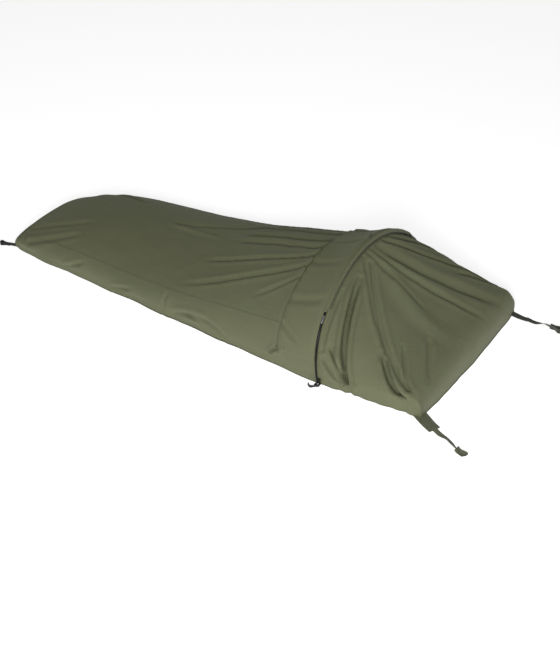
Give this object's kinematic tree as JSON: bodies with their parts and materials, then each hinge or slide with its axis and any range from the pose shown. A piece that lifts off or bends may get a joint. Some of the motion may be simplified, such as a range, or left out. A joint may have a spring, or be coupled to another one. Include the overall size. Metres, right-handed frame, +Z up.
{
  "type": "hooped bivy sack",
  "caption": "One-person waterproof bivy sack with a tapered fabric body, a shock-corded hoop over the face, a hood, a storm flap over the entry zip, and corner stake straps.",
  "frame": {"origin": "middle of the bounding box on the ground plane, with the head end towards -Y and the foot end towards +Y", "axes": "+Y towards the foot end along the sack, +Z up from the ground, +X to the left of a sleeper lying on their back"},
  "size_m": [1.112, 2.6129, 0.4425],
  "materials": {
    "fabric_olive": "coated woven nylon, matt",
    "binding_olive": "woven tape",
    "webbing_black": "woven tape and cord",
    "pole_black": "black anodised tube",
    "pole_metal": "bright",
    "plastic_black": "moulded",
    "metal_small": "plated"
  },
  "bodies": {
    "root": {"groundsheet_floor": "fabric_olive", "side_wall_near": "fabric_olive", "side_wall_far": "fabric_olive", "foot_end_wall": "fabric_olive", "head_wall_band": "fabric_olive", "upper_shell": "fabric_olive", "hood_panel": "fabric_olive", "head_patch_near": "binding_olive", "head_patch_far": "binding_olive", "hoop_tab_near": "webbing_black", "hoop_tab_far": "webbing_black", "hoop_tail_near": "webbing_black", "hoop_tail_far": "webbing_black", "zip_tape_shell": "webbing_black", "zip_coil_shell": "plastic_black", "hoop_eyelet_near": "metal_small", "hoop_eyelet_far": "metal_small", "zip_stop_near": "metal_small", "zip_stop_far": "metal_small", "flap_snap_socket_near": "metal_small", "flap_snap_socket_far": "metal_small"},
    "hoop": {"pole_near_leg": "pole_black", "pole_near_shoulder": "pole_black", "pole_crown": "pole_black", "pole_far_shoulder": "pole_black", "pole_far_leg": "pole_black", "pole_ferrule_1": "pole_metal", "pole_ferrule_2": "pole_metal", "pole_ferrule_3": "pole_metal", "pole_ferrule_4": "pole_metal", "pole_shock_cord": "webbing_black", "pole_tip_near": "plastic_black", "pole_tip_far": "plastic_black", "pole_sleeve": "fabric_olive", "zip_tape_hood": "webbing_black", "zip_coil_hood": "plastic_black"},
    "storm_flap_body": {"storm_flap": "fabric_olive", "flap_hem_binding": "binding_olive", "flap_snap_cap_near": "plastic_black", "flap_snap_cap_far": "plastic_black"},
    "zip_slider_body": {"zip_slider": "metal_small"},
    "zip_pull_body": {"zip_pull_tab": "plastic_black"},
    "crown_loop_body": {"crown_loop": "webbing_black"},
    "head_strap_near_body": {"head_strap_near": "binding_olive"},
    "head_strap_far_body": {"head_strap_far": "binding_olive"},
    "foot_strap_near_body": {"foot_strap_near": "webbing_black"},
    "foot_strap_far_body": {"foot_strap_far": "webbing_black"}
  },
  "joints": [
    {"name": "hoop_fold", "type": "hinge", "parent": "root", "child": "hoop", "pos_m": [0.0369, -0.57357, 0.00447], "axis": [1, 0, 0], "range_deg": [0, 60], "deforming": ["hood_panel", "zip_tape_hood", "zip_coil_hood"]},
    {"name": "storm_flap_lift", "type": "hinge", "parent": "hoop", "child": "storm_flap_body", "pos_m": [0.0369, -0.51591, 0.42704], "axis": [1, 0, 0], "range_deg": [0, 70], "deforming": ["storm_flap", "flap_hem_binding"]},
    {"name": "zip_slider_travel", "type": "hinge", "parent": "root", "child": "zip_slider_body", "pos_m": [0.0369, -0.5738, -0.13308], "axis": [0, 0.9931, -0.1172], "range_deg": [0, 83]},
    {"name": "zip_pull_swing", "type": "hinge", "parent": "zip_slider_body", "child": "zip_pull_body", "pos_m": [-0.33304, -0.52497, 0.28073], "axis": [-0.6639, 0.0876, 0.7426], "range_deg": [-30, 30]},
    {"name": "crown_loop_swing", "type": "hinge", "parent": "hoop", "child": "crown_loop_body", "pos_m": [0.08803, -0.51198, 0.42473], "axis": [1, 0, 0], "range_deg": [-30, 30]},
    {"name": "head_strap_near_lift", "type": "hinge", "parent": "root", "child": "head_strap_near_body", "pos_m": [-0.45643, -1.13268, 0.001], "axis": [-0.878, 0.4787, 0], "range_deg": [0, 80]},
    {"name": "head_strap_far_lift", "type": "hinge", "parent": "root", "child": "head_strap_far_body", "pos_m": [0.46093, -1.13684, 0.001], "axis": [-0.996, 0.0891, 0], "range_deg": [0, 80]},
    {"name": "foot_strap_near_swing", "type": "hinge", "parent": "root", "child": "foot_strap_near_body", "pos_m": [-0.27929, 1.2283, 0.0095], "axis": [0, 0, 1], "range_deg": [-15, 50]},
    {"name": "foot_strap_far_swing", "type": "hinge", "parent": "root", "child": "foot_strap_far_body", "pos_m": [0.22401, 1.1443, 0.0095], "axis": [0, 0, 1], "range_deg": [-50, 15]}
  ]
}
